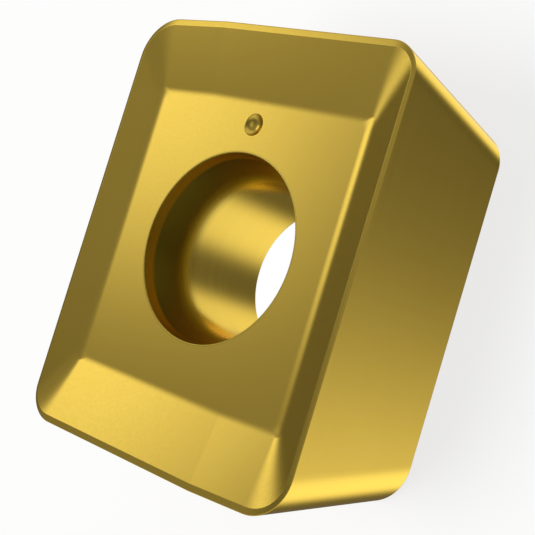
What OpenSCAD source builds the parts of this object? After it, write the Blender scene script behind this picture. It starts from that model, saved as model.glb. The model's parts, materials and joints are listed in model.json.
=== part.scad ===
// Indexable milling insert of sintered carbide: a rectangular block with two cutting ends,
// a dished rake face, a narrow land behind every cutting edge and a hole for its clamp screw.
// The seat face lies on the XY plane, the screw hole runs along Z, and the cutting ends are at +Y and -Y.

/* [Block] */
// Width across the two long, upright flanks
width = 12.7; // [11.5:0.1:20]
// Length between the highest points of the two cutting ends
length = 15.875; // [15:0.1:24]
// Height of the cutting edge above the seat face
edge_height = 6.16; // [4.5:0.05:9]
// Relief angle of the two end flanks
relief = 10; // [0:1:15]

/* [Cutting ends] */
// Sideways distance from the screw axis to the peak, where the wiper edge meets the main edge
peak_offset = 2.4; // [0.5:0.1:3.5]
// Angle at which the main edge falls away from the peak
main_angle = 1.75; // [0.5:0.25:4]
// Angle at which the wiper edge falls away from the peak
wiper_angle = 0.75; // [0:0.25:3]
// Radius of the nose, the corner beside the wiper edge
nose_r = 1.55; // [0.8:0.05:2]
// Radius of the heel, the corner at the far end of the main edge
heel_r = 1.2; // [0.8:0.05:2]

/* [Rake face] */
// Width of the land behind the two end edges
end_land = 0.25; // [0.1:0.05:0.4]
// Width of the land behind the two long edges
side_land = 0.14; // [0.1:0.01:0.4]
// How far the land rises from the cutting edge to its inner border
land_rise = 0.04; // [0.02:0.01:0.1]
// Depth of the rake floor below the cutting edge
floor_depth = 0.395; // [0.2:0.005:0.6]
// Distance from an end edge to the foot of its sloping facet
end_facet = 2.63; // [2.2:0.01:2.9]
// Distance from a long edge to the foot of its sloping facet
side_facet = 1.36; // [1.2:0.01:1.9]
// Radius of the hollow where a facet runs into the floor
floor_fillet = 1.3; // [0.3:0.1:2]
// Radius of the floor's own corners
floor_corner_r = 0.3; // [0.25:0.05:0.6]

/* [Screw hole] */
// Diameter of the straight bore for the clamp screw
bore_d = 5.76; // [4.5:0.02:6.2]
// Included angle of the conical seat under the screw head
seat_angle = 40; // [30:1:50]
// Diameter at the top of the conical seat
seat_d = 6.6; // [6.4:0.02:6.7]
// Diameter of the hole's mouth in the rake floor
mouth_d = 6.78; // [6.74:0.02:7.2]
// Depth of the short wall between the mouth and the conical seat
wall_depth = 0.41; // [0.2:0.01:1]
// Radius that rounds the conical seat into the bore
seat_blend = 2.2; // [0.5:0.1:2.6]

/* [Index mark] */
// Distance from the mouth of the screw hole to the middle of the dimple
dimple_gap = 1.03; // [0.7:0.01:1.1]
// Diameter of the dimple in the rake floor
dimple_d = 0.8; // [0.4:0.05:0.9]
// Depth of the dimple below the rake floor
dimple_depth = 0.2; // [0.1:0.01:0.3]

/* [Hidden] */
// Segments of each true circle, and steps of an arc that is drawn with points
$fn = 96;
arc_steps = 8;
fillet_steps = 5;
blend_steps = 6;
// Reach of a cutting shape past the surface it cuts
beyond = 1;
// How far the circle of a ground corner stands out past the flanks, which it so crosses instead of touching
corner_bite = 0.002;
// How many land widths the slope of the lands is drawn past the cutting edge
skirt_lands = 1.5;

half_w = width / 2;
peak_y = length / 2;
crown_z = edge_height + land_rise;
floor_z = edge_height - floor_depth;
rake_depth = crown_z - floor_z;
// Slopes of the facets, from the inner border of the land down to the floor
end_slope = atan(rake_depth / (end_facet - end_land));
side_slope = atan(rake_depth / (side_facet - side_land));
bore_r = bore_d / 2;
seat_r = seat_d / 2;
mouth_r = mouth_d / 2;
seat_half_angle = seat_angle / 2;
seat_z = floor_z - wall_depth;
// The blend takes up no more than this share of the conical seat
blend_share = 0.9;
dimple_r = dimple_d / 2;

function unit(v) = v / norm(v);

// Height of the end edge over the X axis, at a place x
function edge_y(x) =
    x < -peak_offset
        ? peak_y + (x + peak_offset) * tan(wiper_angle)
        : peak_y - (x + peak_offset) * tan(main_angle);

// Nose, peak and heel of the end at +Y, drawn inwards by in_end from the end edge and in_side
// from the long edges
function end_corners(in_end, in_side) =
    let (x = half_w - in_side)
    [
        [-x, edge_y(-x) - in_end],
        [-peak_offset, peak_y - in_end],
        [x, edge_y(x) - in_end]
    ];

// Centre of the circle of radius r that touches both sides of corner p, between neighbours a and b
function corner_centre(p, a, b, r) =
    let (u = unit(a - p), v = unit(b - p))
    p + unit(u + v) * r / sin(acos(u * v) / 2);

// Points along the arc that rounds corner p, for an outline that runs clockwise
function corner_arc(p, a, b, r) =
    let (
        u = unit(a - p),
        half = acos(u * unit(b - p)) / 2,
        centre = corner_centre(p, a, b, r),
        first = p + u * r / tan(half) - centre,
        start = atan2(first.y, first.x)
    )
    [
        for (i = [0 : arc_steps])
            let (angle = start - (180 - 2 * half) * i / arc_steps)
            centre + r * [cos(angle), sin(angle)]
    ];

// Whole outline of the insert at one height, the same after half a turn about the screw axis
function outline(in_end, in_side, nose, heel) =
    let (
        c = end_corners(in_end, in_side),
        half = concat(
            corner_arc(c[0], -c[2], c[1], nose),
            [c[1]],
            corner_arc(c[2], c[1], -c[0], heel)
        )
    )
    concat(half, [for (p = half) -p]);

// How far a facet of the rake face has run outwards at a height over the floor, its hollow foot included
function facet_run(height, slope) =
    height < floor_fillet * (1 - cos(slope))
        ? sqrt(pow(floor_fillet, 2) - pow(floor_fillet - height, 2)) - floor_fillet * tan(slope / 2)
        : height / tan(slope);

// What a rounded corner leaves over, between the corner p and a circle that is set outwards by corner_bite
module corner_waste(p, a, b, r) {
    u = unit(a - p);
    v = unit(b - p);
    inwards = unit(u + v);
    touch = r / tan(acos(u * v) / 2);
    centre = corner_centre(p, a, b, r);
    difference() {
        polygon([
            p + u * touch, centre, p + v * touch,
            p + v * touch - inwards * r, p - inwards * r, p + u * touch - inwards * r
        ]);
        translate(corner_centre(p, a, b, r - corner_bite)) circle(r);
    }
}

// One cutting end as it shows along its relieved flank: the nose, the peak and the heel
module end_section() {
    foreshorten = cos(relief);
    far = [0, -2 * length];
    corners = [for (p = end_corners(0, 0)) [p.x, p.y * foreshorten]];
    nose = corners[0];
    peak = corners[1];
    heel = corners[2];
    difference() {
        polygon([nose, peak, heel, heel + far, nose + far]);
        corner_waste(nose, nose + far, peak, nose_r);
        corner_waste(heel, peak, heel + far, heel_r);
    }
}

// Bar with upright long flanks and one relieved end, whose round corners lean with the relief
module relieved_bar() {
    translate([0, 0, edge_height])
        rotate([-relief, 0, 0])
            translate([0, 0, -2 * length])
                linear_extrude(4 * length) end_section();
}

// Half of the plain block, from the screw axis to the ground end
module half_blank() {
    intersection() {
        relieved_bar();
        translate([-width, 0, 0]) cube([2 * width, length, crown_z + beyond]);
    }
}

// Plain block with both ends ground to shape
module blank() {
    half_blank();
    rotate([0, 0, 180]) half_blank();
}

// Closed solid that runs through a list of rings, each [height, outline]
module loft(rings) {
    count = len(rings[0][1]);
    last = (len(rings) - 1) * count;
    polyhedron(
        points = [for (ring = rings) for (p = ring[1]) [p.x, p.y, ring[0]]],
        faces = concat(
            [[for (i = [count - 1 : -1 : 0]) i], [for (i = [0 : count - 1]) last + i]],
            [
                for (low = [0 : count : last - count])
                    for (i = [0 : count - 1])
                        let (next = (i + 1) % count)
                        [low + i, low + next, low + count + next, low + count + i]
            ]
        )
    );
}

// Ring on the slope of the lands, a number of land widths inwards from the cutting edge
function land_ring(lands) = [
    edge_height + land_rise * lands,
    outline(end_land * lands, side_land * lands, nose_r - end_land * lands, heel_r - end_land * lands)
];

// Ring of the rake hollow at a height over the floor. Its corners widen from the floor's small
// radius to that of the land.
function hollow_ring(height) =
    let (share = height / rake_depth)
    [
        floor_z + height,
        outline(
            end_facet - facet_run(height, end_slope),
            side_facet - facet_run(height, side_slope),
            floor_corner_r + (nose_r - end_land - floor_corner_r) * share,
            floor_corner_r + (heel_r - end_land - floor_corner_r) * share
        )
    ];

// Form that the rake face is pressed to. From a skirt outside the insert the lands rise to their inner
// border, and from there facets drop through a hollow foot to a flat floor.
module rake_form() {
    skirt = land_ring(-skirt_lands);
    foot = floor_fillet * (1 - cos(side_slope));
    loft(concat(
        [[-beyond, skirt[1]], skirt, land_ring(1)],
        [for (i = [fillet_steps : -1 : 0]) hollow_ring(foot * pow(i / fillet_steps, 2))]
    ));
}

// Hole for the clamp screw: mouth, short wall, conical seat, round blend and straight bore
module screw_hole() {
    cone_length = (seat_r - bore_r) / sin(seat_half_angle);
    blend_r = min(seat_blend, blend_share * cone_length / tan(seat_half_angle / 2));
    cone_reach = blend_r * tan(seat_half_angle / 2);
    blend_z = seat_z - (seat_r - bore_r) / tan(seat_half_angle) - cone_reach;
    blend = [
        for (i = [0 : blend_steps])
            let (angle = seat_half_angle * i / blend_steps)
            [bore_r + blend_r * (1 - cos(angle)), blend_z + blend_r * sin(angle)]
    ];
    rotate_extrude()
        polygon(concat(
            [[0, -beyond], [bore_r, -beyond]],
            blend,
            [[seat_r, seat_z], [mouth_r, floor_z], [mouth_r, crown_z + beyond], [0, crown_z + beyond]]
        ));
}

// Round dimple that marks one of the two cutting ends
module index_dimple() {
    ball_r = (pow(dimple_r, 2) + pow(dimple_depth, 2)) / (2 * dimple_depth);
    translate([0, mouth_r + dimple_gap, floor_z - dimple_depth + ball_r]) sphere(ball_r);
}

// The whole insert, pressed and sintered as one piece
module insert_body() {
    color("#cfa93c")
        difference() {
            intersection() {
                blank();
                rake_form();
            }
            screw_hole();
            index_dimple();
        }
}

insert_body();
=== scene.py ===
# %% [markdown]
# A milling insert with a gold coating
#
# The object is one piece of sintered carbide, 12.7 mm wide and 15.9 mm long, with a thin gold coating of
# titanium nitride. It has two cutting ends, a dished rake face, a screw hole and one small index dimple.
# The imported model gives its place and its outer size. This script gives it its fine edges and its finish.

import json
import math

import bpy
from mathutils import Matrix, Quaternion, Vector


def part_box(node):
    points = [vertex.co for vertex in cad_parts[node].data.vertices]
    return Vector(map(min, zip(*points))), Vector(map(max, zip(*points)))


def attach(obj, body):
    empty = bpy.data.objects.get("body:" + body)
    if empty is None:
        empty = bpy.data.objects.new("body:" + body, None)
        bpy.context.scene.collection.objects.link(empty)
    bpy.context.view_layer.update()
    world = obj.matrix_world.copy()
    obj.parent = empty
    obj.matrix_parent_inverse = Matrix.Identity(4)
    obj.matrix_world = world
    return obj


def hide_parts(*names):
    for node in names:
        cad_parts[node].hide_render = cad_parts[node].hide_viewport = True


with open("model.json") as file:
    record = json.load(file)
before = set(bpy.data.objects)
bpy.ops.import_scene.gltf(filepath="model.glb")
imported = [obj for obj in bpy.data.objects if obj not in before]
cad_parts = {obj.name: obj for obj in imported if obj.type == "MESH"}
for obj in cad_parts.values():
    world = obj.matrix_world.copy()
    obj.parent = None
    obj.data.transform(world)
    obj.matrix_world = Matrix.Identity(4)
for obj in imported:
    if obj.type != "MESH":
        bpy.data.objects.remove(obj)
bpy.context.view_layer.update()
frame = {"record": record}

# %% [markdown]
# Sizes
#
# Blender works in metres, but a toolmaker thinks in millimetres and degrees. One factor turns millimetres
# into metres, and every size below is written as the drawing would give it. The overall sizes come from the
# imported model, so that the piece can't drift away from it. The screw bore comes from the record of the
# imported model, where it is a mount.

# %% Read the overall sizes
MM = 0.001

low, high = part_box("insert_body")
width = high[0] - low[0]
length = high[1] - low[1]
crown_z = high[2] - low[2]
print(f"width {width / MM:.2f} mm, length {length / MM:.2f} mm, crest of the lands at {crown_z / MM:.2f} mm")

# %% Name the heights
# the cutting edge lies a little lower than the crest of the land behind it
land_rise = 0.04 * MM
floor_depth = 0.395 * MM
edge_z = crown_z - land_rise
floor_z = edge_z - floor_depth
print(f"cutting edge at {edge_z / MM:.2f} mm, rake floor at {floor_z / MM:.3f} mm")

# %% Name the sizes of the outline
# the relief is the backward lean of both end flanks
relief = math.radians(10)
# the peak is where the wiper edge meets the main edge, the nose and the heel are the corners beside them
peak_offset = 2.4 * MM
main_angle = math.radians(1.75)
wiper_angle = math.radians(0.75)
nose_r = 1.55 * MM
heel_r = 1.2 * MM
peak_r = 1.2 * MM
print(f"corner radii in mm: nose {nose_r / MM:.2f}, peak {peak_r / MM:.2f}, heel {heel_r / MM:.2f}")

# %% Name the sizes of the rake face
# widths of the lands, and distances from an edge to the foot of its facet
end_land = 0.25 * MM
side_land = 0.14 * MM
end_facet = 2.63 * MM
side_facet = 1.36 * MM
# the hollow foot of the facets, and the corners of the floor
floor_fillet = 1.3 * MM
floor_corner_r = 0.3 * MM
print(f"rake floor: {(width - 2 * side_facet) / MM:.2f} by {(length - 2 * end_facet) / MM:.2f} mm")

# %% Name the sizes of the hole and the dimple
bore = next(m for m in frame["record"]["mounts"] if m["name"] == "clamp_screw_bore")
bore_r = bore["dims"]["r_mm"] * MM
seat_half_angle = math.radians(20)
seat_r = 3.3 * MM
mouth_r = 3.39 * MM
wall_depth = 0.41 * MM
seat_blend = 2.2 * MM

dimple_y = 4.42 * MM
dimple_r = 0.4 * MM
dimple_depth = 0.2 * MM
for name, radius in (("bore", bore_r), ("mouth", mouth_r), ("dimple", dimple_r)):
    print(f"diameter of the {name} in mm: {2 * radius / MM:.2f}")

# %% [markdown]
# Section lines
#
# A pressed and ground part is easiest to think of as a section line that travels round an outline. The line
# starts on the seat face, climbs the flank, turns over the cutting edge, crosses the land and its crest,
# and runs down the facet and its hollow foot to the rake floor. Real edges are never quite sharp: a cutting
# edge is honed to a few hundredths of a millimetre, and that radius is what catches the light. So the line
# is drawn with corners first, and one helper then rounds each corner by its own radius.
#
# The helper also sets a station close to both ends of every curve. Blender shades a smooth mesh by the
# average of the faces round a vertex, and these stations keep that average from creeping over the flats.

# %% Round the corners of a section line
CURVE_STEPS = 6
SUPPORT = 0.02 * MM
STRAIGHT = 1e-6


def rounded(corners):
    """Stations along a line of corners, given as (numbers, radius). The first and last corner only aim it.

    A corner may carry more than two numbers. The first two are drawn to the radius, and the others follow.
    """
    line = []
    for (before, _), (corner, radius), (after, _) in zip(corners, corners[1:], corners[2:]):
        before, corner, after = Vector(before), Vector(corner), Vector(after)
        back, onward = before - corner, after - corner
        back_length, onward_length = back.xy.length, onward.xy.length
        turn = math.pi - back.xy.angle(onward.xy)
        if radius == 0 or turn < STRAIGHT:
            line.append(corner)
            continue

        # where the curve starts and ends, and the centre of its circle
        tangent = radius * math.tan(turn / 2)
        start = corner + back * tangent / back_length
        end = corner + onward * tangent / onward_length
        into = (back.xy / back_length + onward.xy / onward_length).normalized()
        centre = corner.xy + into * radius / math.cos(turn / 2)
        spoke = start.xy - centre
        side = 1 if back.x * onward.y - back.y * onward.x < 0 else -1

        line.append(start + back / back_length * SUPPORT)
        for i in range(CURVE_STEPS + 1):
            share = i / CURVE_STEPS
            point = start.lerp(corner, share).lerp(corner.lerp(end, share), share)
            point.xy = centre + Matrix.Rotation(side * turn * share, 2) @ spoke
            line.append(point)
        line.append(end + onward / onward_length * SUPPORT)
    return line


print("stations on a rounded corner:", CURVE_STEPS + 3)

# %% [markdown]
# The line of the outside
#
# The outside needs its line twice, once where it crosses a cutting end and once where it crosses a long
# side, because the ends lean back by ten degrees and have wider lands and flatter facets. Both lines have
# the same number of stations, so each station becomes one ring round the insert. The radii of the nose and
# the heel travel along with the line: they shrink from the flank to the rake floor, which gives the rake
# face its conical corners.

# %% Draw the line of the outside
EDGE_BREAK = 0.06 * MM
EDGE_HONE = 0.03 * MM
CREST_R = 0.03 * MM
AIM = 0.5 * MM


def outside_line(land, facet, lean):
    """Stations (inset, height, nose radius, heel radius), from the seat face over the edge to the floor."""
    foot = edge_z * math.tan(lean)
    return rounded([
        ((foot + AIM, 0, nose_r - AIM, heel_r - AIM), 0),
        ((foot, 0, nose_r, heel_r), EDGE_BREAK),
        ((0, edge_z, nose_r, heel_r), EDGE_HONE),
        ((land, crown_z, nose_r - end_land, heel_r - end_land), CREST_R),
        ((facet, floor_z, floor_corner_r, floor_corner_r), floor_fillet),
        ((facet + AIM, floor_z, floor_corner_r, floor_corner_r), 0),
    ])


end_line = outside_line(end_land, end_facet, relief)
side_line = outside_line(side_land, side_facet, 0)
print("stations from the seat face to the rake floor:", len(end_line), len(side_line))

# %% [markdown]
# The lines of the hole and the dimple
#
# Both are turned shapes with one line each, given by distance from the axis and height. The hole goes down
# from the rake floor: a short wall, the conical seat under the screw head, a long blend and the bore. The
# dimple is a shallow cap of a ball with a soft rim.

# %% Draw the line of the hole
MOUTH_R = 0.03 * MM
seat_z = floor_z - wall_depth
cone_foot_z = seat_z - (seat_r - bore_r) / math.tan(seat_half_angle)
hole_line = rounded([
    ((mouth_r + AIM, floor_z), 0),
    ((mouth_r, floor_z), MOUTH_R),
    ((seat_r, seat_z), EDGE_BREAK),
    ((bore_r, cone_foot_z), seat_blend),
    ((bore_r, 0), EDGE_BREAK),
    ((bore_r + AIM, 0), 0),
])
print(f"stations down the hole: {len(hole_line)}, top of its conical seat at {seat_z / MM:.3f} mm")

# %% Draw the line of the dimple
BOWL_STEPS = 8
ball_r = (dimple_r ** 2 + dimple_depth ** 2) / (2 * dimple_depth)
rim_angle = math.asin(dimple_r / ball_r)
bowl_angles = [rim_angle * i / BOWL_STEPS for i in range(BOWL_STEPS, -1, -1)]
bowl = [
    (ball_r * math.sin(angle), floor_z - dimple_depth + ball_r * (1 - math.cos(angle)))
    for angle in bowl_angles
]
dimple_line = rounded([((dimple_r + AIM, floor_z), 0), (bowl[0], EDGE_HONE), (bowl[1], 0)])
dimple_line += [Vector(p) for p in bowl[1:]]
print(f"stations down the dimple: {len(dimple_line)}, radius of its ball {ball_r / MM:.2f} mm")

# %% [markdown]
# The lines as a mesh
#
# Geometry Nodes read the stations from a plain mesh of loose points. Each point carries its numbers as
# attributes, and the attribute "line" says which of the three lines it belongs to. A point of the outside
# has numbers for the end and for the side, and a point of a turned shape needs only the first set.

# %% Store the stations as points
OUTSIDE, HOLE, DIMPLE = range(3)
NOTHING = (0, 0, 0)
stations = (
    [(OUTSIDE, (e[0], e[1], 0), (s[0], s[1], 0), (e[2], e[3], peak_r)) for e, s in zip(end_line, side_line)]
    + [(HOLE, (p.x, p.y, 0), NOTHING, NOTHING) for p in hole_line]
    + [(DIMPLE, (p.x, p.y, dimple_y), NOTHING, NOTHING) for p in dimple_line]
)

insert_mesh = bpy.data.meshes.new("insert_sections")
insert_mesh.from_pydata([station[1] for station in stations], [], [])
line_attribute = insert_mesh.attributes.new("line", "INT", "POINT")
line_attribute.data.foreach_set("value", [station[0] for station in stations])
for column, name in ((1, "on_end"), (2, "on_side"), (3, "radii")):
    attribute = insert_mesh.attributes.new(name, "FLOAT_VECTOR", "POINT")
    attribute.data.foreach_set("vector", [number for station in stations for number in station[column]])
insert = bpy.data.objects.new("coated_insert", insert_mesh)
bpy.context.scene.collection.objects.link(insert)
print("points:", len(insert_mesh.vertices))

# %% [markdown]
# One helper for nodes
#
# Shader trees and geometry trees are built the same way: add a node, set its options, and fill its inputs
# with values or with links. One small function does all three. A whole node given as an input stands for
# its first output. The kinds of node that come up most often get a short name.

# %% Add a node with its settings and links
def add(tree, kind, inputs=None, more_items=0, **settings):
    """Add a node of this kind, set its options by name and fill its inputs by name or by number."""
    node = tree.nodes.new(kind)
    for name, value in settings.items():
        setattr(node, name, value)
    for _ in range(more_items):
        node.index_switch_items.new()
    for key, value in (inputs or {}).items():
        if isinstance(value, bpy.types.Node):
            value = value.outputs[0]
        if isinstance(value, bpy.types.NodeSocket):
            tree.links.new(value, node.inputs[key])
        else:
            node.inputs[key].default_value = value
    return node


MATH, VECTOR_MATH, INT_MATH = "ShaderNodeMath", "ShaderNodeVectorMath", "FunctionNodeIntegerMath"
SEPARATE, COMBINE, MIX = "ShaderNodeSeparateXYZ", "ShaderNodeCombineXYZ", "ShaderNodeMix"
SWITCH, COMPARE, GROUP = "GeometryNodeIndexSwitch", "FunctionNodeCompare", "GeometryNodeGroup"
ATTRIBUTE, SAMPLE = "GeometryNodeInputNamedAttribute", "GeometryNodeSampleIndex"
JOIN, MERGE, MOVE = "GeometryNodeJoinGeometry", "GeometryNodeMergeByDistance", "GeometryNodeSetPosition"
FLIP = "GeometryNodeFlipFaces"
print("a kind of node is named in full as", MATH)

# %% Start a node group with named sockets
FLOAT, INT, VECTOR = "NodeSocketFloat", "NodeSocketInt", "NodeSocketVector"
GEOMETRY, MATERIAL = "NodeSocketGeometry", "NodeSocketMaterial"
OUTLINE_SIZES = [
    ("Half Width", FLOAT), ("Half Length", FLOAT), ("Peak Offset", FLOAT),
    ("Main Angle", FLOAT), ("Wiper Angle", FLOAT),
]


def new_group(name, inputs, outputs):
    """A geometry node group whose sockets are given as (name, socket type), with its two end nodes."""
    tree = bpy.data.node_groups.new(name, "GeometryNodeTree")
    for direction, sockets in (("INPUT", inputs), ("OUTPUT", outputs)):
        for socket_name, kind in sockets:
            tree.interface.new_socket(socket_name, in_out=direction, socket_type=kind)
    return tree, add(tree, "NodeGroupInput"), add(tree, "NodeGroupOutput")


print("sizes that every outline group takes:", [name for name, _ in OUTLINE_SIZES])

# %% [markdown]
# A point on the outline
#
# Seen from above, one cutting end has three corners: the nose, the peak and the heel. The other end is the
# same after half a turn, which makes six. Each corner is an arc between the outward directions of its two
# sides, so one formula gives them all. With a and b the outward directions of the sides, the
# centre of a circle of radius r that touches both lies at corner - r (a + b) / (1 + a . b). Any point of the
# arc is the centre plus r times its own outward direction.
#
# The group takes a corner number, a share of the arc from 0 to 1 and the numbers of one station. It gives
# the point, with a height that changes from the side line to the end line as the arc turns the corner.

# %% Start the group for a point on the outline
outline_point, given, result = new_group(
    "point_on_outline",
    [("Corner", INT), ("Share", FLOAT), ("On End", VECTOR), ("On Side", VECTOR), ("Radii", VECTOR)]
    + OUTLINE_SIZES,
    [("Point", VECTOR)],
)
g = given.outputs
tree = outline_point

on_end = add(tree, SEPARATE, {0: g["On End"]}).outputs
on_side = add(tree, SEPARATE, {0: g["On Side"]}).outputs
radii = add(tree, SEPARATE, {0: g["Radii"]}).outputs
corner = add(tree, INT_MATH, {0: g["Corner"], 1: 3}, operation="MODULO")
far_end = add(tree, INT_MATH, {0: g["Corner"], 1: 3}, operation="DIVIDE_FLOOR")
print("sockets in and out of the outline group:", len(g) - 1, len(result.inputs) - 1)

# %% Place the corner itself, before rounding
half_x = add(tree, MATH, {0: g["Half Width"], 1: on_side[0]}, operation="SUBTRACT")
minus_half_x = add(tree, MATH, {0: half_x, 1: -1.0}, operation="MULTIPLY")
minus_peak = add(tree, MATH, {0: g["Peak Offset"], 1: -1.0}, operation="MULTIPLY")
corner_x = add(tree, SWITCH, {0: corner, 1: minus_half_x, 2: minus_peak, 3: half_x}, 1, data_type="FLOAT")
from_peak = add(tree, MATH, {0: corner_x, 1: g["Peak Offset"]}, operation="ADD")
run = add(tree, MATH, {0: from_peak}, operation="ABSOLUTE")
slope = add(tree, SWITCH, {0: corner, 1: g["Wiper Angle"], 2: 0.0, 3: g["Main Angle"]}, 1, data_type="FLOAT")
fall = add(tree, MATH, {0: slope}, operation="TANGENT")
drop = add(tree, MATH, {0: run, 1: fall}, operation="MULTIPLY")
inset_y = add(tree, MATH, {0: g["Half Length"], 1: on_end[0]}, operation="SUBTRACT")
corner_y = add(tree, MATH, {0: inset_y, 1: drop}, operation="SUBTRACT")
flat_corner = add(tree, COMBINE, {0: corner_x, 1: corner_y})
print("nodes so far:", len(tree.nodes))

# %% Find the outward directions beside it
# in order round one end they are: left flank, wiper edge, main edge, right flank
quarter = math.pi / 2
wiper_out = add(tree, MATH, {0: quarter, 1: g["Wiper Angle"]}, operation="ADD")
main_out = add(tree, MATH, {0: quarter, 1: g["Main Angle"]}, operation="SUBTRACT")
out_before = add(tree, SWITCH, {0: corner, 1: math.pi, 2: wiper_out, 3: main_out}, 1, data_type="FLOAT")
out_after = add(tree, SWITCH, {0: corner, 1: wiper_out, 2: main_out, 3: 0.0}, 1, data_type="FLOAT")
out_here = add(tree, MIX, {0: g["Share"], 2: out_before.outputs[0], 3: out_after.outputs[0]})
before, after, here = [
    add(tree, COMBINE, {
        0: add(tree, MATH, {0: angle}, operation="COSINE"),
        1: add(tree, MATH, {0: angle}, operation="SINE"),
    })
    for angle in (out_before, out_after, out_here)
]
print("nodes so far:", len(tree.nodes))

# %% Round the corner
both = add(tree, VECTOR_MATH, {0: before, 1: after}, operation="ADD")
likeness = add(tree, VECTOR_MATH, {0: before, 1: after}, operation="DOT_PRODUCT").outputs["Value"]
one_more = add(tree, MATH, {0: likeness, 1: 1.0}, operation="ADD")
reach = add(tree, MATH, {0: 1.0, 1: one_more}, operation="DIVIDE")
to_corner = add(tree, VECTOR_MATH, {0: both, "Scale": reach}, operation="SCALE")
spoke = add(tree, VECTOR_MATH, {0: here, 1: to_corner}, operation="SUBTRACT")
radius = add(tree, SWITCH, {0: corner, 1: radii[0], 2: radii[2], 3: radii[1]}, 1, data_type="FLOAT")
spoke = add(tree, VECTOR_MATH, {0: spoke, "Scale": radius}, operation="SCALE")
point = add(tree, VECTOR_MATH, {0: flat_corner, 1: spoke}, operation="ADD")
print("nodes so far:", len(tree.nodes))

# %% Turn it to its own end and lift it
turn = add(tree, MATH, {0: far_end, 1: math.pi}, operation="MULTIPLY")
point = add(tree, "ShaderNodeVectorRotate", {"Vector": point, "Angle": turn}, rotation_type="Z_AXIS")
here_y = add(tree, SEPARATE, {0: here}).outputs[1]
endwise = add(tree, MATH, {0: here_y, 1: here_y}, operation="MULTIPLY")
height = add(tree, MIX, {0: endwise, 2: on_side[1], 3: on_end[1]})
lift = add(tree, COMBINE, {2: height})
point = add(tree, VECTOR_MATH, {0: point, 1: lift}, operation="ADD")
tree.links.new(point.outputs[0], result.inputs[0])
print("nodes in the outline group:", len(tree.nodes))

# %% [markdown]
# The outside as a swept skin
#
# A grid has one row of vertices for each station and one column for each place round the outline. Its index
# tells both, so the group can look up the station's numbers and ask the outline group for the point. The
# straight stretches get columns that crowd towards their ends, which keeps the shading of the flats clean
# beside the round corners. The last column falls on the first and is merged later.

# %% Lay out the grid of the swept skin
swept_skin, given, result = new_group(
    "swept_skin",
    [("Stations", GEOMETRY), ("Arc Steps", INT), ("Side Steps", INT)] + OUTLINE_SIZES,
    [("Mesh", GEOMETRY)],
)
g = given.outputs
tree = swept_skin
CORNERS = 6

rings = add(tree, "GeometryNodeAttributeDomainSize", {0: g["Stations"]}).outputs["Point Count"]
per_corner = add(tree, INT_MATH, {0: g["Arc Steps"], 1: g["Side Steps"]}, operation="ADD")
round_trip = add(tree, INT_MATH, {0: per_corner, 1: CORNERS}, operation="MULTIPLY")
columns = add(tree, INT_MATH, {0: round_trip, 1: 1}, operation="ADD")
grid = add(tree, "GeometryNodeMeshGrid", {"Vertices X": rings, "Vertices Y": columns})
index = add(tree, "GeometryNodeInputIndex")
ring = add(tree, INT_MATH, {0: index, 1: columns}, operation="DIVIDE_FLOOR")
column = add(tree, INT_MATH, {0: index, 1: columns}, operation="MODULO")
print("nodes so far:", len(tree.nodes))

# %% Find each column's place between the corners
# a share of the arc, and then a share of the straight stretch after it
corner = add(tree, INT_MATH, {0: column, 1: per_corner}, operation="DIVIDE_FLOOR")
next_corner = add(tree, INT_MATH, {0: corner, 1: 1}, operation="ADD")
step = add(tree, INT_MATH, {0: column, 1: per_corner}, operation="MODULO")
share = add(tree, MATH, {0: step, 1: g["Arc Steps"]}, operation="DIVIDE", use_clamp=True)
past_arc = add(tree, INT_MATH, {0: step, 1: g["Arc Steps"]}, operation="SUBTRACT")
along = add(tree, MATH, {0: past_arc, 1: g["Side Steps"]}, operation="DIVIDE", use_clamp=True)
half_circle = add(tree, MATH, {0: along, 1: math.pi}, operation="MULTIPLY")
swing = add(tree, MATH, {0: half_circle}, operation="COSINE")
crowded = add(tree, MATH, {0: swing, 1: -0.5, 2: 0.5}, operation="MULTIPLY_ADD")
print("nodes so far:", len(tree.nodes))

# %% Look up the stations and place the skin
station = {
    socket: add(tree, SAMPLE, {
        "Geometry": g["Stations"],
        "Value": add(tree, ATTRIBUTE, {"Name": name}, data_type="FLOAT_VECTOR"),
        "Index": ring,
    }, data_type="FLOAT_VECTOR")
    for socket, name in (("On End", "on_end"), ("On Side", "on_side"), ("Radii", "radii"))
}
sizes = {name: g[name] for name, _ in OUTLINE_SIZES}
here = add(tree, GROUP, {"Corner": corner, "Share": share, **station, **sizes}, node_tree=outline_point)
there = add(tree, GROUP, {"Corner": next_corner, **station, **sizes}, node_tree=outline_point)
point = add(tree, MIX, {0: crowded, 4: here, 5: there}, data_type="VECTOR")
skin = add(tree, MOVE, {"Geometry": grid, "Position": point.outputs[1]})
tree.links.new(skin.outputs[0], result.inputs[0])
print("nodes in the swept skin:", len(tree.nodes))

# %% [markdown]
# Turned skins
#
# The hole and the dimple are shapes that a lathe or a round punch would leave. The same kind of grid serves
# them, with the radius of the station swung about an upright axis.

# %% Lay out the grid of a turned skin
turned_skin, given, result = new_group(
    "turned_skin",
    [("Stations", GEOMETRY), ("Segments", INT)],
    [("Mesh", GEOMETRY)],
)
g = given.outputs
tree = turned_skin

rings = add(tree, "GeometryNodeAttributeDomainSize", {0: g["Stations"]}).outputs["Point Count"]
columns = add(tree, INT_MATH, {0: g["Segments"], 1: 1}, operation="ADD")
grid = add(tree, "GeometryNodeMeshGrid", {"Vertices X": rings, "Vertices Y": columns})
index = add(tree, "GeometryNodeInputIndex")
ring = add(tree, INT_MATH, {0: index, 1: columns}, operation="DIVIDE_FLOOR")
column = add(tree, INT_MATH, {0: index, 1: columns}, operation="MODULO")
station = add(tree, SAMPLE, {
    "Geometry": g["Stations"],
    "Value": add(tree, ATTRIBUTE, {"Name": "on_end"}, data_type="FLOAT_VECTOR"),
    "Index": ring,
}, data_type="FLOAT_VECTOR")
print("nodes so far:", len(tree.nodes))

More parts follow.
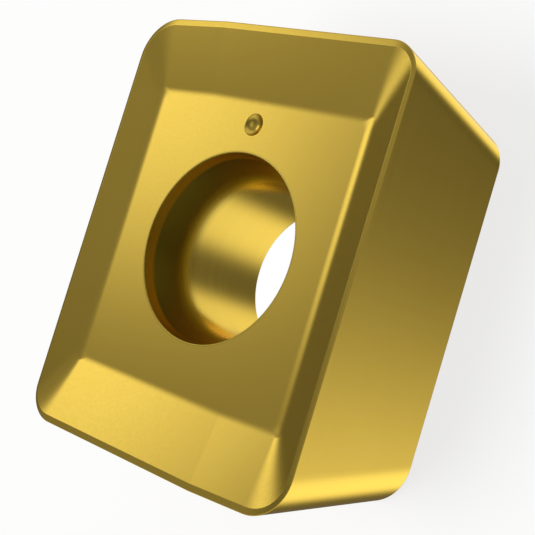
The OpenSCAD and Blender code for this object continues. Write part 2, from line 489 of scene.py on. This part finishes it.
# %% Swing the stations about the axis
radius, height, axis_y = add(tree, SEPARATE, {0: station}).outputs
turn = add(tree, MATH, {0: column, 1: g["Segments"]}, operation="DIVIDE")
angle = add(tree, MATH, {0: turn, 1: 2 * math.pi}, operation="MULTIPLY")
spoke = add(tree, COMBINE, {
    0: add(tree, MATH, {0: angle}, operation="COSINE"),
    1: add(tree, MATH, {0: angle}, operation="SINE"),
})
spoke = add(tree, VECTOR_MATH, {0: spoke, "Scale": radius}, operation="SCALE")
centre = add(tree, COMBINE, {1: axis_y, 2: height})
point = add(tree, VECTOR_MATH, {0: spoke, 1: centre}, operation="ADD")
skin = add(tree, MOVE, {"Geometry": grid, "Position": point})
# the skin of a hole faces its own axis
skin = add(tree, FLIP, {0: skin})
tree.links.new(skin.outputs[0], result.inputs[0])
print("nodes in the turned skin:", len(tree.nodes))

# %% [markdown]
# The whole insert
#
# The three skins end in open rims, which lie in two planes: the rake floor and the seat face. Everything
# between the rims is flat, so the tree takes the loose rim edges of each plane, turns them into curves and
# fills between them. The fill treats a rim inside another as a hole. Merging then closes all seams.

# %% Make the three skins
insert_tree, given, result = new_group(
    "insert_from_section_lines",
    [("Geometry", GEOMETRY)] + OUTLINE_SIZES
    + [("Arc Steps", INT), ("Side Steps", INT), ("Hole Segments", INT), ("Dimple Segments", INT),
       ("Seat To Floor", FLOAT), ("Merge Distance", FLOAT), ("Material", MATERIAL)],
    [("Geometry", GEOMETRY)],
)
g = given.outputs
tree = insert_tree

line = add(tree, ATTRIBUTE, {"Name": "line"}, data_type="INT")
lines = [
    add(tree, "GeometryNodeSeparateGeometry", {
        "Geometry": g["Geometry"],
        "Selection": add(tree, COMPARE, {2: line, 3: number}, data_type="INT", operation="EQUAL"),
    })
    for number in (OUTSIDE, HOLE, DIMPLE)
]
steps = {name: g[name] for name in ("Arc Steps", "Side Steps")}
sizes = {name: g[name] for name, _ in OUTLINE_SIZES}
outside = add(tree, GROUP, {"Stations": lines[OUTSIDE], **steps, **sizes}, node_tree=swept_skin)
hole, dimple = [
    add(tree, GROUP, {"Stations": lines[number], "Segments": g[segments]}, node_tree=turned_skin)
    for number, segments in ((HOLE, "Hole Segments"), (DIMPLE, "Dimple Segments"))
]
print("nodes so far:", len(tree.nodes))

# %% Join them and close their own seams
skins = add(tree, JOIN)
for skin in (outside, hole, dimple):
    tree.links.new(skin.outputs[0], skins.inputs[0])
skins = add(tree, MERGE, {"Geometry": skins, "Distance": g["Merge Distance"]})
print("nodes so far:", len(tree.nodes))

# %% Fill the flats between the rims
# an edge with one face beside it is on a rim, and its height tells in which plane
faces_beside = add(tree, "GeometryNodeInputMeshEdgeNeighbors")
rim = add(tree, COMPARE, {2: faces_beside, 3: 1}, data_type="INT", operation="EQUAL")
place = add(tree, SEPARATE, {0: add(tree, "GeometryNodeInputPosition")}).outputs[2]
half_height = add(tree, MATH, {0: g["Seat To Floor"], 1: 0.5}, operation="MULTIPLY")
flats = []
for side in ("GREATER_THAN", "LESS_EQUAL"):
    in_plane = add(tree, COMPARE, {0: place, 1: half_height}, data_type="FLOAT", operation=side)
    chosen = add(tree, "FunctionNodeBooleanMath", {0: rim, 1: in_plane}, operation="AND")
    rims = add(tree, "GeometryNodeMeshToCurve", {"Mesh": skins, "Selection": chosen})
    flats.append(add(tree, "GeometryNodeFillCurve", {0: rims}))

# a fill lies at height nothing and faces up, so one is lifted and the other is turned over
to_floor = add(tree, COMBINE, {2: g["Seat To Floor"]})
rake_floor = add(tree, MOVE, {"Geometry": flats[0], "Offset": to_floor})
seat_face = add(tree, FLIP, {0: flats[1]})
print("nodes so far:", len(tree.nodes))

# %% Join the whole and give it its material
whole = add(tree, JOIN)
for part in (skins, rake_floor, seat_face):
    tree.links.new(part.outputs[0], whole.inputs[0])
whole = add(tree, MERGE, {"Geometry": whole, "Distance": g["Merge Distance"]})
whole = add(tree, "GeometryNodeSetShadeSmooth", {"Geometry": whole})
whole = add(tree, "GeometryNodeRealizeInstances", {"Geometry": whole})
whole = add(tree, "GeometryNodeSetMaterial", {"Geometry": whole, "Material": g["Material"]})
tree.links.new(whole.outputs[0], result.inputs[0])
print("nodes in the insert tree:", len(tree.nodes))

# %% [markdown]
# Run the tree
#
# The inputs are set by their identifiers, before the modifier is looked at for the first time. The
# evaluated result then becomes a plain mesh, because only plain meshes travel well to other programs.

# %% Set the inputs of the tree
coating = bpy.data.materials.new("titanium_nitride_coating")
modifier = insert.modifiers.new("insert_from_section_lines", "NODES")
modifier.node_group = insert_tree
sockets = insert_tree.interface.items_tree
identifiers = {item.name: item.identifier for item in sockets if item.in_out == "INPUT"}
for name, value in {
    "Half Width": width / 2,
    "Half Length": length / 2,
    "Peak Offset": peak_offset,
    "Main Angle": main_angle,
    "Wiper Angle": wiper_angle,
    "Arc Steps": 16,
    "Side Steps": 14,
    "Hole Segments": 180,
    "Dimple Segments": 48,
    "Seat To Floor": floor_z,
    "Merge Distance": 0.0005 * MM,
    "Material": coating,
}.items():
    modifier[identifiers[name]] = value
print("inputs of the tree:", list(identifiers))

# %% Make the plain mesh
bpy.context.view_layer.update()
ready = insert.evaluated_get(bpy.context.evaluated_depsgraph_get())
sections = insert.data
insert.data = bpy.data.meshes.new_from_object(ready)
insert.data.name = "coated_insert"
insert.modifiers.clear()
bpy.data.meshes.remove(sections)
print("vertices", len(insert.data.vertices), "faces", len(insert.data.polygons))

# %% [markdown]
# The gold finish
#
# Titanium nitride is laid on by vapour as a skin of a few thousandths of a millimetre. It is a true metal
# to the eye: all of its colour is in the reflection, so metallic is one, and a dull base colour would look
# like paint. The carbide under it was pressed and sintered, so its grain gives the rake face a satin gloss.
# The flanks were ground afterwards, which leaves fine lines along them.
#
# The colours are written as sRGB hex values, as a colour picker shows them, and one function turns them
# into the linear values that Blender reckons with.

# %% A function for colours
def linear(hex_colour):
    """The linear colour of an sRGB hex value such as DBBA4F."""
    channels = [int(hex_colour[i:i + 2], 16) / 255 for i in (0, 2, 4)]
    return [c / 12.92 if c <= 0.04045 else ((c + 0.055) / 1.055) ** 2.4 for c in channels] + [1.0]


print("gold in linear light:", [round(c, 3) for c in linear("DBBA4F")])

# %% [markdown]
# Clouds in the gold
#
# The coating is a little thicker here and there, which turns the gold a shade deeper. A soft noise between
# two golds that hardly differ is enough.
#
# All patterns read Object coordinates, so they keep their real size and stay put on the piece. A noise
# texture counts in cells per metre, so a pattern of p metres has a scale of 1 / p.

# %% Start the coating with its clouds
NOISE, MAP_RANGE = "ShaderNodeTexNoise", "ShaderNodeMapRange"
CLOUD = 3.5 * MM

coating.use_nodes = True
tree = coating.node_tree
tree.nodes.clear()
place = add(tree, "ShaderNodeTexCoord").outputs["Object"]
cloud = add(tree, NOISE, {"Vector": place, "Scale": 1 / CLOUD, "Detail": 2.0})
gold = add(tree, MIX, {0: cloud, 6: linear("DDBD52"), 7: linear("D8B74D")}, data_type="RGBA")
print("clouds per metre:", round(1 / CLOUD))

# %% [markdown]
# Painted shade in the seat of the screw hole
#
# The conical seat is painted much darker than the bore below it, in a dull olive gold. This is painted
# shade, which stands in for the shade down in the hole. The place is found by two measures: the distance
# from the axis of the hole, and the height above the seat face. Three soft limits are multiplied to one
# mask.

# %% Find the seat of the hole
FLAT = (1, 1, 0)
MOUTH_FADE = 0.1 * MM
CONE_FADE = (1.8 * MM, 1.1 * MM)
WALL_FADE = (-0.05 * MM, 0.1 * MM)
WALL_SHARE = 0.6

from_axis = add(tree, VECTOR_MATH, {0: place, 1: FLAT}, operation="MULTIPLY")
from_axis = add(tree, VECTOR_MATH, {0: from_axis}, operation="LENGTH").outputs["Value"]
above = add(tree, SEPARATE, {0: place}).outputs["Z"]
in_hole = add(tree, MAP_RANGE, {
    "Value": from_axis, "From Min": mouth_r, "From Max": mouth_r + MOUTH_FADE, "To Min": 1.0, "To Max": 0.0,
})
on_cone = add(tree, MAP_RANGE, {
    "Value": above, "From Min": seat_z - CONE_FADE[0], "From Max": seat_z - CONE_FADE[1],
    "To Min": 0.0, "To Max": 1.0,
})
under_wall = add(tree, MAP_RANGE, {
    "Value": above, "From Min": seat_z + WALL_FADE[0], "From Max": seat_z + WALL_FADE[1],
    "To Min": 1.0, "To Max": WALL_SHARE,
})
# mask of the painted shade in the seat of the hole
painted_seat_shade = add(tree, MATH, {0: in_hole, 1: on_cone}, operation="MULTIPLY")
painted_seat_shade = add(tree, MATH, {0: painted_seat_shade, 1: under_wall}, operation="MULTIPLY")
# painted shade: the seat of the hole is mixed towards a dark olive gold
gold = add(tree, MIX, {0: painted_seat_shade, 6: gold.outputs[2], 7: linear("928638")}, data_type="RGBA")
print("nodes so far:", len(tree.nodes))

# %% [markdown]
# Grain and grinding lines
#
# The grain of the sintered face is about 0.005 mm, and grinding lines are about 0.01 mm apart. Both are far
# too fine for a picture in which one pixel is 0.04 mm, so they are drawn ten to twenty times as coarse, and
# very shallow. The lines are noise that is stretched along the flanks, and they show only where the face
# stands upright.

# %% Draw the grain and the grinding lines
GRAIN = 0.09 * MM
GRIND_PITCH = 0.12 * MM
GRIND_RUN = 6 * MM
# how far a face's normal may point up or down until the lines start to fade, and until they are gone
UPRIGHT = (0.25, 0.6)

grain = add(tree, NOISE, {"Vector": place, "Scale": 1 / GRAIN, "Detail": 3.0})
stretch = (1 / GRIND_RUN, 1 / GRIND_RUN, 1 / GRIND_PITCH)
stretched = add(tree, VECTOR_MATH, {0: place, 1: stretch}, operation="MULTIPLY")
lines = add(tree, NOISE, {"Vector": stretched, "Scale": 1.0, "Detail": 2.0})
facing = add(tree, SEPARATE, {0: add(tree, "ShaderNodeNewGeometry").outputs["Normal"]})
upward = add(tree, MATH, {0: facing.outputs["Z"]}, operation="ABSOLUTE")
upright = add(tree, MAP_RANGE, {
    "Value": upward, "From Min": UPRIGHT[0], "From Max": UPRIGHT[1], "To Min": 1.0, "To Max": 0.0,
})
marks = add(tree, MIX, {0: upright, 2: grain, 3: lines})
print("nodes so far:", len(tree.nodes))

# %% [markdown]
# Gloss
#
# The same two patterns set how sharply the metal mirrors. The ground flanks are a little smoother than the
# satin rake face, and the seat of the hole, where shade is painted, is rougher than both.

# %% Make the gloss
NOISE_SPAN = (0.3, 0.7)
SATIN = (0.2, 0.24)
GROUND = (0.19, 0.23)
SEAT_ROUGHNESS = 0.34

satin, ground = [
    add(tree, MAP_RANGE, {
        "Value": pattern, "From Min": NOISE_SPAN[0], "From Max": NOISE_SPAN[1],
        "To Min": smooth, "To Max": rough,
    })
    for pattern, (smooth, rough) in ((grain, SATIN), (lines, GROUND))
]
gloss = add(tree, MIX, {0: upright, 2: satin, 3: ground})
gloss = add(tree, MIX, {0: painted_seat_shade, 2: gloss, 3: SEAT_ROUGHNESS})
print("roughness of rake face, flanks and seat of the hole:", SATIN, GROUND, SEAT_ROUGHNESS)

# %% [markdown]
# The metal
#
# One shader takes the colour, the gloss and the marks. Its specular tint is the colour that a metal turns
# at a slant. Plain white would give the gold a chalky rim, which this coating doesn't have, so the tint is
# a pale yellow. It is the same all over, and so it is set on the shader itself.

# %% Finish the coating
MARK_DEPTH = 0.00025 * MM

bump = add(tree, "ShaderNodeBump", {"Height": marks, "Strength": 1.0, "Distance": MARK_DEPTH})
metal = add(tree, "ShaderNodeBsdfPrincipled", {
    "Base Color": gold.outputs[2],
    "Metallic": 1.0,
    "Specular Tint": linear("FFF2C8"),
    "Roughness": gloss,
    "Normal": bump,
})
add(tree, "ShaderNodeOutputMaterial", {"Surface": metal})
print("nodes in the coating:", len(tree.nodes))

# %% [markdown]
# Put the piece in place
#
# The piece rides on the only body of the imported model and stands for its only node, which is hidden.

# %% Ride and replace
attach(insert, "root")
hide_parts("insert_body")
box = [[pick(v.co[i] for v in insert.data.vertices) for i in range(3)] for pick in (min, max)]
print("insert in mm:", [[round(c / MM, 3) for c in corner] for corner in box])

# %% [markdown]
# Floor
#
# A pale, matt sheet of paper on which the seat face of the insert rests. It is wide enough to fill the
# picture from every side. In the photograph the ground is nearly white and the shadow faint, as on a
# light table, so most of the sheet's brightness is its own glow, where a strength of one is white, and
# the rest comes from the lamp and carries the shadow. Under the screw hole it glows fully, because the
# photograph shows clean white through the hole.
#
# The glow is for what sees the sheet and not for what it would light, which is what Light Path tells
# apart. No face in the photograph mirrors the ground, so the sheet as a whole is hidden from reflections.
# If it is let into them again, Is Glossy Ray makes it show white there too. Its back is clear, so that a
# camera under the table shows the seat face.

# %% Make the floor
FLOOR_RADIUS = 0.9
RING = 96

angles = [2 * math.pi * i / RING for i in range(RING)]
rim_points = [(FLOOR_RADIUS * math.cos(angle), FLOOR_RADIUS * math.sin(angle), 0) for angle in angles]
floor_mesh = bpy.data.meshes.new("studio_floor")
floor_mesh.from_pydata(rim_points, [], [list(range(RING))])
studio_floor = bpy.data.objects.new("studio_floor", floor_mesh)
bpy.context.scene.collection.objects.link(studio_floor)
studio_floor.visible_glossy = False
print("floor radius in metres:", FLOOR_RADIUS)

# %% Mix the paper and its glow
GLOW = 0.75
HOLE_GLOW = (3.0 * MM, 3.6 * MM)

paper = bpy.data.materials.new("matt_white_paper")
paper.use_nodes = True
tree = paper.node_tree
tree.nodes.clear()
sheet = add(tree, "ShaderNodeBsdfPrincipled", {"Base Color": linear("F6F6F4"), "Roughness": 0.9})
glow = add(tree, "ShaderNodeEmission", {"Color": (1, 1, 1, 1), "Strength": 1.0})
place = add(tree, "ShaderNodeTexCoord").outputs["Object"]
away = add(tree, VECTOR_MATH, {0: place}, operation="LENGTH").outputs["Value"]
share = add(tree, MAP_RANGE, {
    "Value": away, "From Min": HOLE_GLOW[0], "From Max": HOLE_GLOW[1], "To Min": 1.0, "To Max": GLOW,
})
ray = add(tree, "ShaderNodeLightPath").outputs
seen = add(tree, MATH, {0: ray["Is Camera Ray"], 1: ray["Is Glossy Ray"]}, operation="ADD")
seen = add(tree, MATH, {0: seen, 1: ray["Is Transmission Ray"]}, operation="ADD", use_clamp=True)
share = add(tree, MATH, {0: seen, 1: share}, operation="MULTIPLY")
table = add(tree, "ShaderNodeMixShader", {0: share, 1: sheet, 2: glow})
print("share of its own glow:", GLOW)

# %% Clear its back
below = add(tree, "ShaderNodeNewGeometry").outputs["Backfacing"]
clear = add(tree, "ShaderNodeBsdfTransparent")
table = add(tree, "ShaderNodeMixShader", {0: below, 1: table, 2: clear})
add(tree, "ShaderNodeOutputMaterial", {"Surface": table})
floor_mesh.materials.append(paper)
print("nodes in the paper:", len(tree.nodes))

# %% [markdown]
# Light
#
# Metal has hardly a look of its own: each face shows what it mirrors. The corners of the piece give the
# direction from which every face gets its light, and the photograph gives how bright it is there. Read
# in that way, this piece mirrors a dim, even room with a few soft boxes, and no table top: the brightest
# band on the flank comes from a box that stands lower than the piece.
#
# So the boxes are drawn into the world, which a mirror sees in the same direction from every place. A box
# is even over its middle and soft at its border. It is given by the direction of its middle, by how far
# from there it has faded to a half, and by its brightness, on a scale where 1 is white paper.

# %% List the soft boxes
AMBIENT = 0.16
SOFT_BOXES = [
    # azimuth, elevation, half width and half height in degrees, brightness
    (160, 38, 16, 9, 1.45),     # main box at the upper left: the rake floor and the nearer end facet
    (182, 40, 37, 15, 0.12),    # wall behind it: the far end facet and the dark end of the rake floor
    (125, 72, 75, 20, 0.16),    # ceiling: the facet along the left flank, and the right land
    (-45, -62, 40, 20, 1.5),    # low in front: the foot of the flank and the bore's broad upper stripe
    (100, -62, 33, 20, 1.3),    # low at the right: the bore's lower stripe
    # nothing in the photograph mirrors these four, which light the piece for views from other sides
    (180, -22, 180, 16, 0.7),   # band all round, a little below the piece: the flanks
    (90, 25, 45, 18, 0.6),      # right: the rake face
    (-90, 25, 45, 18, 0.6),     # left: the rake face
    (0, 78, 70, 14, 0.45),      # overhead, on the camera's side: the rake face, seen from the top
]
print("soft boxes:", len(SOFT_BOXES))

# %% [markdown]
# Each box is a half to the power of a sum. In the middle of the box the sum is nothing, at its border it
# is one, and since it grows as the fourth power of the angle, the box has a flat middle. Across, one minus
# the cosine already grows as the square of the angle, so it is only squared once more. Up and down, the
# angle itself is raised to the fourth power.

# %% Start the world with its even light
world = bpy.data.worlds.new("studio")
bpy.context.scene.world = world
world.use_nodes = True
tree = world.node_tree
tree.nodes.clear()
direction = add(tree, "ShaderNodeTexCoord").outputs["Generated"]
height = add(tree, SEPARATE, {0: direction}).outputs["Z"]
elevation = add(tree, MATH, {0: height}, operation="ARCSINE")
level = add(tree, VECTOR_MATH, {0: direction, 1: FLAT}, operation="MULTIPLY")
level = add(tree, VECTOR_MATH, {0: level}, operation="NORMALIZE")
light = add(tree, "ShaderNodeValue")
light.outputs[0].default_value = AMBIENT
print("even light of the room:", AMBIENT)

# %% Add the boxes to it
for azimuth, middle, half_width, half_height, brightness in SOFT_BOXES:
    turn = math.radians(azimuth)
    narrow = 1 / (1 - math.cos(math.radians(half_width)))
    towards = (math.cos(turn), math.sin(turn), 0)
    aside = add(tree, VECTOR_MATH, {0: level, 1: towards}, operation="DOT_PRODUCT").outputs["Value"]
    aside = add(tree, MATH, {0: aside, 1: -narrow, 2: narrow}, operation="MULTIPLY_ADD")
    aside = add(tree, MATH, {0: aside, 1: 2.0}, operation="POWER")
    above = add(tree, MATH, {0: elevation, 1: math.radians(middle)}, operation="SUBTRACT")
    above = add(tree, MATH, {0: above, 1: 1 / math.radians(half_height)}, operation="MULTIPLY")
    above = add(tree, MATH, {0: above, 1: 4.0}, operation="POWER")
    away = add(tree, MATH, {0: aside, 1: above}, operation="ADD")
    spot = add(tree, MATH, {0: 0.5, 1: away}, operation="POWER")
    light = add(tree, MATH, {0: spot, 1: brightness, 2: light}, operation="MULTIPLY_ADD")
room = add(tree, "ShaderNodeBackground", {"Color": (1, 1, 1, 1), "Strength": light})
add(tree, "ShaderNodeOutputWorld", {"Surface": room})
print("nodes in the world:", len(tree.nodes))

# %% [markdown]
# The floor needs a light of its own for its shadow. A broad, distant lamp from the upper left does that.
# It is kept out of the reflections, in which it would be one box too many. A sun of strength pi that meets
# white paper head on lights it to a brightness of one, so the energy is written as a share of pi.

# %% Light the floor
LAMP_SHARE = 0.75
lamp = bpy.data.lights.new("floor_light", "SUN")
lamp.energy = LAMP_SHARE * math.pi
lamp.angle = math.radians(40)
floor_light = bpy.data.objects.new("floor_light", lamp)
bpy.context.scene.collection.objects.link(floor_light)
turn, rise = math.radians(215), math.radians(55)
towards = Vector((math.cos(turn) * math.cos(rise), math.sin(turn) * math.cos(rise), math.sin(rise)))
floor_light.rotation_euler = (-towards).to_track_quat("-Z", "Y").to_euler()
floor_light.visible_glossy = False
print("floor light, energy in watts per square metre:", round(lamp.energy, 2))

# %% [markdown]
# Camera
#
# The camera's place, direction and roll come from matching the corners of the piece with the photograph's
# perspective.

# %% Place the camera
eye = Vector((28.667, -2.664, 35.328)) * MM
aim = Vector((0.166, -0.035, 3.1)) * MM
roll = math.radians(-69.036)
lens = bpy.data.cameras.new("camera")
lens.sensor_width = 36
lens.lens = 81.014
lens.clip_start = 0.001
camera = bpy.data.objects.new("camera", lens)
bpy.context.scene.collection.objects.link(camera)
camera.location = eye
camera.rotation_euler = ((aim - eye).to_track_quat("-Z", "Y") @ Quaternion((0, 0, 1), roll)).to_euler()
bpy.context.scene.camera = camera
bpy.context.scene.view_settings.view_transform = "Standard"
print("camera distance in mm:", round((aim - eye).length / MM, 1))
